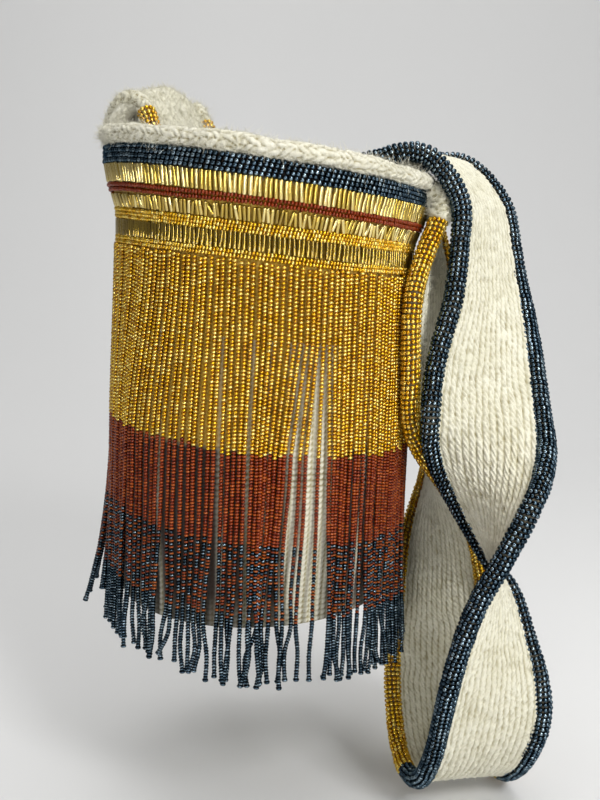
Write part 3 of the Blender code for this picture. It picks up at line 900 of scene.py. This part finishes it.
def fuzz(name, points, outward, count, length, seed, body, nodes, material):
    """Fine closed fibres that stand out of a yarn surface."""
    rng = np.random.default_rng(seed)
    rows, columns = points.shape[:2]
    pick = rng.integers(0, rows, count), rng.integers(0, columns, count)
    heading = unit(outward[pick] + rng.normal(0, 0.75, (count, 3)))
    bend = rng.normal(0, 0.55, (count, 3))
    reach = length * rng.uniform(0.4, 1.3, (count, 1))
    helper = unit(np.cross(heading, rng.normal(0, 1, (count, 3))))
    other = np.cross(heading, helper)
    root, heading, bend, reach, helper, other = (
        part[:, None, :] for part in (points[pick], heading, bend, reach, helper, other)
    )
    x, y, step = (FIBRE[0][None, :, k, None] for k in range(3))
    placed = root + reach * (heading * step + bend * step * step) + FIBRE_RADIUS * (x * helper + y * other)
    values = np.zeros(placed.shape)
    values[..., 0] = 0.9
    carried(copies(name, FIBRE, placed, values, material), body, nodes)


def rolled_rim():
    """The thick edge: a roll of leaf-shaped crochet stitches with a ragged, hairy surface."""
    rng = np.random.default_rng(41)
    columns, sides = RIM_STITCHES * 17, 44
    azimuth = turns(columns)
    ripple = smooth_noise(rng, columns, 60, closed=True) * 0.0011
    fatness = 1.0 + smooth_noise(rng, columns, 50, closed=True) * 0.09
    section = np.arange(sides)[:, None] / sides * TURN
    drift = smooth_noise(rng, columns, 70, closed=True)[None, :] * 0.35
    along = azimuth[None, :] / TURN * RIM_STITCHES + drift + noise_grid(rng, sides, columns, 11, 15) * 0.55
    across = section / TURN * RIM_ROWS + noise_grid(rng, sides, columns, 11, 19) * 0.55
    relief = roughened(rng, 0.12 + 0.88 * leaf_stitches(along, across), 3, 5, 0.26)
    lumps = noise_grid(rng, sides, columns, 9, 26) * 0.09
    middle_radius = MOUTH_RADIUS - WALL_THICKNESS / 2
    middle_height = WALL_TOP + GAP + RIM_DEPTH / 2
    grow = fatness[None, :] * (0.84 + 0.26 * relief + lumps)
    radius = middle_radius + np.cos(section) * RIM_WIDTH / 2 * grow
    height = middle_height + np.sin(section) * RIM_DEPTH / 2 * grow * 1.12 + ripple[None, :]
    points = settle(on_ring(radius, azimuth[None, :], height))
    item = grid_mesh("rim_roll_stitches", points, CREAM, relief, wrap_rows=True)
    carried(item, "bag", ["rim_roll"])
    centre = settle(on_ring(middle_radius, azimuth, middle_height))
    outward = unit(points - centre[None, :, :])
    fuzz("rim_roll_fuzz", points, outward, 9800, 0.0026, 42, "bag", ["rim_roll"], CREAM)


# Strap

def cubic(before, start, end, after, share):
    """Smooth curve value between start and end."""
    tangent_in = (end - before) / 2
    tangent_out = (after - start) / 2
    s2, s3 = share * share, share * share * share
    value = start * (2 * s3 - 3 * s2 + 1) + end * (3 * s2 - 2 * s3)
    return value + tangent_in * (s3 - 2 * s2 + share) + tangent_out * (s3 - s2)


def strap_frame(stations):
    """Middle points and unit directions from back edge to front edge at fractional stations."""
    rows = np.array(STRAP_ROUTE_SHARES, float) * (REACH, REACH, RIM_TOP, 1.0, 1.0)
    stations = np.clip(np.asarray(stations, float), 0.0, END_STATION)
    first = np.minimum(stations.astype(int), END_STATION - 1)
    share = (stations - first)[:, None]
    before, after = np.maximum(first - 1, 0), np.minimum(first + 2, END_STATION)
    values = cubic(rows[before], rows[first], rows[first + 1], rows[after], share)
    turn, tilt = np.radians(values[:, 3]), np.radians(values[:, 4])
    across = np.stack([np.cos(turn) * np.cos(tilt), np.sin(turn) * np.cos(tilt), np.sin(tilt)], axis=1)
    return values[:, :3], across


ROUTE_SAMPLES = 6000
RIB_WIDTH = 0.0036
RIB_STITCH = 0.0034
RIB_SAMPLES = 8
WEB_UNDER_ROLL = 0.0012
WEB_HALF = STRAP_WIDTH / 2 - EDGE_RADIUS + WEB_UNDER_ROLL
WEB_STEP = 0.00085
FOLD_BULGE = 0.0045
FOLD_SAG = 0.0075
PLAIN_EDGE_RADIUS = 0.0052
LONG_EDGES = ((-1, "back"), (1, "front"))


def rib_relief(across, along):
    """Height of lengthwise ribs of slanted stitches, 0 to 1. Both are in metres."""
    rib = across / RIB_WIDTH
    index = np.floor(rib)
    inside = rib - index - 0.5
    stitch = along / RIB_STITCH + inside * 1.5 + index * 0.37
    body = np.sqrt(clamp(1.0 - (inside / 0.52) ** 2))
    bulge = np.abs(np.sin(stitch * math.pi)) ** 0.8
    return body * (0.58 + 0.42 * bulge)


def fold_lift(stations, share):
    """How much higher the puffy fold at the strap's left end lies than a flat band. share is the place
    across the strap, -1 at the back edge and 1 at the front edge."""
    window = ease(stations, 0.6, 2.6) * (1.0 - ease(stations, 4.2, 7.0))
    return window * (FOLD_BULGE * (1.0 - share ** 2) - FOLD_SAG * clamp(-share) ** 1.5)


def pinch(stations):
    """The strap is drawn together where it goes down into the bag."""
    return 1.0 - 0.20 * ease(stations, 3.2, 4.8) * (1.0 - ease(stations, 6.5, 9.0))


def strap_web():
    """The ribbed band, in four stretches with shared ends."""
    stations = np.linspace(0.0, END_STATION, ROUTE_SAMPLES)
    travelled = lengths_along(strap_frame(stations)[0])
    ribs = int(round(2 * WEB_HALF / RIB_WIDTH))
    columns = ribs * RIB_SAMPLES
    offsets = np.linspace(-WEB_HALF, WEB_HALF, columns)
    total = travelled[-1]
    rows = int(total / WEB_STEP)
    length = np.linspace(0.0, total, rows)
    at = np.interp(length, travelled, stations)
    middle, across = strap_frame(at)
    run = unit(np.gradient(middle, axis=0))
    normal = unit(np.cross(run, across))
    base = middle[:, None, :] + across[:, None, :] * (offsets[None, :] * pinch(at)[:, None])[..., None]
    base[..., 2] += fold_lift(at[:, None], offsets[None, :] / WEB_HALF)
    rng = np.random.default_rng(61)
    strayed = offsets[None, :] + WEB_HALF + noise_grid(rng, rows, columns, 14, 24) * 0.0011
    relief = rib_relief(strayed, length[:, None] + noise_grid(rng, rows, columns, 9, 8) * 0.0016)
    relief = clamp(relief * (0.90 + 0.25 * noise_grid(rng, rows, columns, 4, 8)))
    relief = roughened(rng, relief, 2, 2, 0.24)
    loose = 1.0 - ease(at, 7.0, 9.0)[:, None]
    relief = relief * (1.0 - 0.6 * loose) + loose * (0.55 + noise_grid(rng, rows, columns, 5, 6) * 0.45)
    relief = clamp(relief)
    edge_fade = np.clip((WEB_HALF - np.abs(offsets)) / 0.001, 0.35, 1.0)[None, :]
    rise = (WEB_THICKNESS / 2 * 0.35 + relief * 0.0020) * edge_fade
    front = base + normal[:, None, :] * rise[..., None]
    back = base - normal[:, None, :] * rise[..., None]
    ring, ring_relief = both_faces(front, back), both_faces(relief, relief)
    ring_normals = unit(np.cross(
        np.roll(ring, -1, axis=1) - np.roll(ring, 1, axis=1), np.gradient(ring, axis=0)
    ))
    cuts = [0] + [int(np.searchsorted(at, station)) for station in (RIM_STATION, LOOP_STATION)] + [rows - 1]
    halfway = (cuts[2] + cuts[3]) // 2
    stretches = (
        ("strap_web_mouth_ribs", cuts[0], cuts[1], "bag", "strap_web_mouth"),
        ("strap_web_drop_ribs", cuts[1], cuts[2], DROP, "strap_web_drop"),
        ("strap_web_loop_ribs", cuts[2], halfway, "strap_loop", "strap_web_loop"),
        ("strap_web_loop_ribs_rising", halfway, cuts[3], "strap_loop", "strap_web_loop"),
    )
    for name, low, high, body, node in stretches:
        part = slice(low, high + 1)
        item = grid_mesh(
            name, ring[part], WEBBING, ring_relief[part], caps=True, normals=ring_normals[part]
        )
        carried(item, body, [node])
    for name, low, high, body, node in stretches[1:]:
        for side, face, sign in (("out", front, 1), ("in", back, -1)):
            outward = sign * np.broadcast_to(normal[:, None, :], face.shape)
            fuzz(
                f"{name}_fuzz_{side}", face[low:high], outward[low:high], int((high - low) * 6.5), 0.0015,
                90 + low + sign, body, [node], WEBBING,
            )
    fold = at < GOLD_START_STATION + 1.0
    for side, face, sign in (("upper", front, 1), ("lower", back, -1)):
        outward = sign * np.broadcast_to(normal[:, None, :], face.shape)
        fuzz(
            f"strap_web_mouth_fuzz_{side}", face[fold], outward[fold], 4200, 0.0026, 62 + sign, "bag",
            ["strap_web_mouth"], WEBBING,
        )


def knitted_tube(name, path, side, radius, seed, nodes, fibres, body="bag"):
    """A closed roll of leaf-shaped crochet stitches along a path, with loose fibres."""
    rng = np.random.default_rng(seed)
    rows, sides = len(path), 26
    run = unit(np.gradient(path, axis=0))
    side = unit(side - run * np.sum(side * run, axis=1, keepdims=True))
    other = np.cross(run, side)
    section = np.arange(sides)[None, :] / sides * TURN
    relief = leaf_stitches(lengths_along(path)[:, None] / 0.0052, section / TURN * 6)
    relief = roughened(rng, relief, 5, 3, 0.25)
    taper = np.sqrt(np.clip(1.0 - np.abs(np.linspace(-1, 1, rows)) ** 12, 0.02, 1.0))[:, None]
    reach = radius * taper * (0.80 + 0.28 * relief)
    outward = np.cos(section)[..., None] * side[:, None, :] + np.sin(section)[..., None] * other[:, None, :]
    points = path[:, None, :] + outward * reach[..., None]
    item = grid_mesh(name + "_stitches", points, WEBBING, relief, caps=True)
    carried(item, body, nodes)
    fuzz(name + "_fuzz", points, outward, fibres, 0.0026, seed + 2, body, nodes, WEBBING)


def edge_path(sign, stations):
    """The middle line of one long edge, and the directions across the strap."""
    middle, across = strap_frame(stations)
    path = middle + across * (sign * STRAP_WIDTH / 2 * pinch(stations))[:, None]
    path[:, 2] += fold_lift(stations, np.full(len(stations), float(sign)))
    return path, across


def plain_edges():
    """The thick crochet edges of the strap's left end, before its beads start."""
    stations = np.linspace(PLAIN_START_STATION, GOLD_START_STATION + 0.25, 420)
    for sign, place in LONG_EDGES:
        path, across = edge_path(sign, stations)
        node = f"strap_{place}_edge_plain"
        knitted_tube(node, path, across, PLAIN_EDGE_RADIUS, 70 + sign, [node], 1500)


def fold_front():
    """The puffy front of the fold at the strap's left end, from its front edge down to the rim."""
    rng = np.random.default_rng(75)
    stations = np.linspace(0.5, 5.2, 260)
    path, across = edge_path(1, stations)
    azimuth = np.arctan2(path[:, 1], path[:, 0] - LEAN)
    foot = settle(on_ring(MOUTH_RADIUS + 0.0065, azimuth, RIM_TOP - 0.0035))
    gone = ease(stations, 3.7, 5.1)[:, None]
    foot = foot * (1.0 - gone) + path * gone
    share = np.linspace(0.0, 1.0, 44)[None, :, None]
    face = path[:, None, :] * (1.0 - share) + foot[:, None, :] * share
    height = np.linalg.norm(foot - path, axis=1)
    relief = leaf_stitches(lengths_along(path)[:, None] / 0.0050, share[..., 0] * height[:, None] / 0.0042)
    relief = roughened(rng, relief, 5, 5, 0.25)
    bulge = np.sin(math.pi * share[..., 0]) * height[:, None] * 0.30 + relief * 0.0012
    outward = np.broadcast_to(across[:, None, :], face.shape)
    outside = face + outward * (0.0010 + bulge)[..., None]
    inside = face - outward * 0.0012
    # The colour's relief is raised here, so this fold gets less of the painted groove shade.
    ring, ring_relief = both_faces(outside, inside), 0.65 + 0.35 * both_faces(relief, relief)
    item = grid_mesh("strap_fold_front_stitches", ring, CREAM, ring_relief, caps=True)
    carried(item, "bag", ["strap_web_mouth"])
    fuzz("strap_fold_front_fuzz", outside, outward, 1800, 0.0028, 76, "bag", ["strap_web_mouth"], CREAM)


def seam_folds():
    """Loose folds of the strap's right end beside its seam, from under the rim to the beaded edges."""
    share = np.linspace(0.0, 1.0, 120)
    for sign, place in LONG_EDGES:
        end, _ = edge_path(sign, np.array([float(END_STATION)]))
        below, _ = edge_path(sign, np.array([END_STATION - 0.12]))
        beside = math.radians(-sign * (PATCH_HALF_ANGLE + 1.0))
        top = settle(on_ring(BAND_OUTER_RADIUS, beside, WALL_TOP + MILLIMETRE))
        elbow = (top + end[0]) / 2 + np.array((0.0085, 0.0, 0.003))
        path = (
            top[None, :] * ((1 - share) ** 2)[:, None]
            + elbow[None, :] * (2 * share * (1 - share))[:, None]
            + below[0][None, :] * (share ** 2)[:, None]
        )
        side = np.broadcast_to((1.0, 0.0, 0.0), path.shape)
        knitted_tube(
            f"strap_end_right_fold_{place}", path, side, PLAIN_EDGE_RADIUS * 1.25, 78 + sign,
            ["strap_end_right"], 900, body=(tuple(top), tuple(below[0])),
        )


WRAP_PITCH = 0.00268
WRAP_BEADS = 11
WRAP_SEED_RADIUS = 0.00134
ROLL_RADIUS = 0.0057
CORE_RADIUS = ROLL_RADIUS - 0.0020


def roll_core(name, points, body):
    """The cotton edge under the beads, painted darker as the shade between them."""
    sides = 10
    run = unit(np.gradient(points, axis=0))
    side = unit(np.cross(run, (0.0, 0.3, 1.0)))
    other = np.cross(run, side)
    angle = turns(sides)
    ring = points[:, None, :] + CORE_RADIUS * (
        np.cos(angle)[None, :, None] * side[:, None, :] + np.sin(angle)[None, :, None] * other[:, None, :]
    )
    # Relief 0.4 and 0.7 of the painted shade darken the core as the shade between the beads.
    item = grid_mesh(
        name, ring, WEBBING, np.full(ring.shape[:2], 0.4), caps=True, painted_glow_and_shade=(0.0, 0.7)
    )
    carried(item, body, [])


def strap_roll(sign, place, seed):
    """Short strings of beads wrapped round one long edge, in the five stretches of the model."""
    rng = np.random.default_rng(seed)
    stations = np.linspace(0.0, END_STATION, ROUTE_SAMPLES)
    points, _ = edge_path(sign, stations)
    travelled = lengths_along(points)
    first_length = np.interp(GOLD_START_STATION, stations, travelled)
    count = int((travelled[-1] - first_length) / WRAP_PITCH)
    lengths = first_length + WRAP_PITCH * (np.arange(count) + 0.5) + rng.normal(0, 0.00006, count)
    at = np.interp(lengths, travelled, stations)
    centres, run = points_at(lengths, travelled, points)
    outward = strap_frame(at)[1] * sign
    outward = unit(outward - run * np.sum(outward * run, axis=1, keepdims=True))
    third = np.cross(run, outward)
    angle = (np.arange(WRAP_BEADS)[None, :] / WRAP_BEADS + rng.uniform(-0.012, 0.012, (count, 1))) * TURN
    angle = angle + smooth_noise(rng, count, 14)[:, None] * 0.25 * TURN / WRAP_BEADS
    slant = 0.10 + smooth_noise(rng, count, 9)[:, None] * 0.08
    ring_radius = (ROLL_RADIUS - WRAP_SEED_RADIUS) * rng.uniform(0.97, 1.04, (count, 1))
    cosine, sine = np.cos(angle)[..., None], np.sin(angle)[..., None]
    direction = cosine * outward[:, None, :] + sine * third[:, None, :]
    tangent = cosine * third[:, None, :] - sine * outward[:, None, :]
    lift = slant * np.sin(angle) * ROLL_RADIUS
    beads = centres[:, None, :] + direction * ring_radius[..., None] + run[:, None, :] * lift[..., None]
    tangent = tangent + run[:, None, :] * (slant * np.cos(angle))[..., None]
    half = np.broadcast_to(TURN * ring_radius / WRAP_BEADS / 2, angle.shape)
    edges = (
        ("gold_mouth", GOLD_START_STATION, HIDDEN_CHANGE_STATION, "gold", "bag"),
        ("blue_mouth", HIDDEN_CHANGE_STATION, RIM_STATION, "blue", "bag"),
        ("blue_drop", RIM_STATION, LOOP_STATION, "blue", DROP),
        ("blue_loop", LOOP_STATION, LOW_CHANGE_STATION, "blue", "strap_loop"),
        ("gold_loop", LOW_CHANGE_STATION, END_STATION, "gold", "strap_loop"),
    )
    for stretch, low, high, run_name, body in edges:
        chosen = (at >= low) & (at < high)
        name = f"strap_{place}_edge_{stretch}"
        number = int(chosen.sum()) * WRAP_BEADS
        item = stamp(
            name + "_wraps",
            SEED,
            beads[chosen].reshape(-1, 3),
            tangent[chosen].reshape(-1, 3),
            WRAP_SEED_RADIUS * rng.uniform(0.96, 1.05, number),
            half[chosen].ravel() * rng.uniform(0.92, 0.98, number),
            RUN_MATERIALS[run_name],
            rng,
            shade=STRUNG_SHADE,
        )
        carried(item, body, [name])
        inside = (stations >= low) & (stations <= high)
        roll_core(name + "_core", points[inside][::8], body)


def seam_patch(name, azimuth):
    """A strap end sewn flat on the bead rows, ribbed as the strap is."""
    half = math.radians(PATCH_HALF_ANGLE)
    radius = BAND_OUTER_RADIUS + GAP
    width = 2 * half * radius
    columns = int(width / RIB_WIDTH) * RIB_SAMPLES
    top = WALL_TOP - 2 * GAP
    rows = int(PATCH_DEPTH / 0.0006)
    offsets = np.linspace(0.0, width, columns)
    angle = math.radians(azimuth) - half + offsets / radius
    height = np.linspace(top - PATCH_DEPTH, top, rows)
    relief = rib_relief(offsets[None, :], height[:, None])
    relief = roughened(np.random.default_rng(81), relief, 2, 3, 0.3)
    from_side = np.abs(offsets[None, :] / width * 2 - 1)
    from_end = np.abs(np.linspace(-1, 1, rows))[:, None]
    pillow = np.sqrt(clamp((1.02 - from_side ** 8) * (1.02 - from_end ** 5)))
    lift = pillow * (WEB_THICKNESS * 0.9 + relief * 0.0010)
    outer = settle(on_ring(radius + lift, angle[None, :], height[:, None]))
    inner = settle(on_ring(radius, angle[None, :], height[:, None]))
    ring, ring_relief = both_faces(outer, inner), both_faces(relief, relief)
    item = grid_mesh(name + "_ribs", ring, WEBBING, ring_relief, caps=True)
    carried(item, "bag", [name])
    outward = settle(on_ring(1.0, angle[None, :], height[:, None])) * (1.0, 1.0, 0.0)
    fuzz(name + "_fuzz", outer, unit(outward), 700, 0.0022, 82, "bag", [name], WEBBING)


# Studio

def plain_material(name, colour, roughness):
    nodes = Nodes(bpy.data.materials.new(name))
    nodes.shader.inputs["Base Color"].default_value = (*colour, 1.0)
    nodes.set(Roughness=roughness)
    return nodes.holder


def backdrop():
    """A pale sheet that runs along the floor and curves up behind the object."""
    floor = CAD_BOX[0][2] - 0.002
    bend, back, half_width = 0.9, 1.6, 9.0
    profile = [(-6.0, floor), (back - bend, floor)]
    for step in range(1, 13):
        turn = math.pi / 2 * step / 12
        profile.append((back - bend + math.sin(turn) * bend, floor + (1.0 - math.cos(turn)) * bend))
    profile.append((back, floor + 5.0))
    profile = np.array(profile)
    points = np.array([[(x, y, z) for x in (half_width, -half_width)] for y, z in profile])
    paper = plain_material("backdrop_paper", (0.66, 0.66, 0.655), 0.9)
    item = grid_mesh("backdrop", points, paper, 0.0, wrap_columns=False)


def studio():
    backdrop()
    nodes = Nodes(bpy.data.worlds.new("studio"), "Background")
    bpy.context.scene.world = nodes.holder
    parts = nodes.add("ShaderNodeSeparateXYZ")
    nodes.link(nodes.add("ShaderNodeTexCoord").outputs["Generated"], parts.inputs["Vector"])
    shade = nodes.ramp(parts.outputs["Y"], [(0.0, (0.34,) * 3), (0.35, (0.72, 0.72, 0.71))])
    sideways = nodes.ramp(parts.outputs["X"], [(0.0, (0.58,) * 3), (0.5, (1.0,) * 3)])
    nodes.link(nodes.mix(1.0, shade, sideways, "MULTIPLY"), nodes.shader.inputs["Color"])
    lights = (
        ("key", (0.54, -0.78, 0.80), (0.28, 0.28), 7.6),
        ("strip_right", (0.50, -0.85, 0.20), (0.12, 0.4), 2.6),
        ("low", (-0.12, -0.82, 0.02), (0.10, 0.22), 1.4),
        ("top", (0.05, 0.00, 2.3), (2.4, 2.0), 32.0),
        ("sweep", (0.0, 0.30, 2.0), (2.0, 0.6), 9.0),
    )
    for name, place, size, power in lights:
        lamp = bpy.data.lights.new(name, "AREA")
        lamp.shape = "RECTANGLE"
        lamp.size, lamp.size_y = size
        lamp.energy = power
        item = bpy.data.objects.new(name, lamp)
        item.location = place
        target = Vector((0.0, 1.2, 0.3)) if name == "sweep" else Vector((0.03, 0.0, 0.08))
        item.rotation_euler = (target - item.location).to_track_quat("-Z", "Y").to_euler()
        bpy.context.scene.collection.objects.link(item)
    camera = bpy.data.cameras.new("camera")
    camera.lens = CAMERA_LENS
    camera.clip_start = 0.01
    view = bpy.data.objects.new("camera", camera)
    view.location = CAMERA_PLACE
    view.rotation_euler = (math.radians(90.0 + CAMERA_PITCH), 0.0, 0.0)
    bpy.context.scene.collection.objects.link(view)
    bpy.context.scene.camera = view
    bpy.context.scene.view_settings.view_transform = "Standard"


studio()
crochet_base()
crochet_wall()
rolled_rim()
bead_bands()
for panel_index in range(PANEL_COUNT):
    fringe_panel(panel_index)
strap_web()
plain_edges()
fold_front()
seam_folds()
for edge, (edge_sign, edge_place) in enumerate(LONG_EDGES):
    strap_roll(edge_sign, edge_place, 51 + edge)
seam_patch("strap_end_right", 0.0)
seam_patch("strap_end_left", LEFT_SEAM_AZIMUTH)
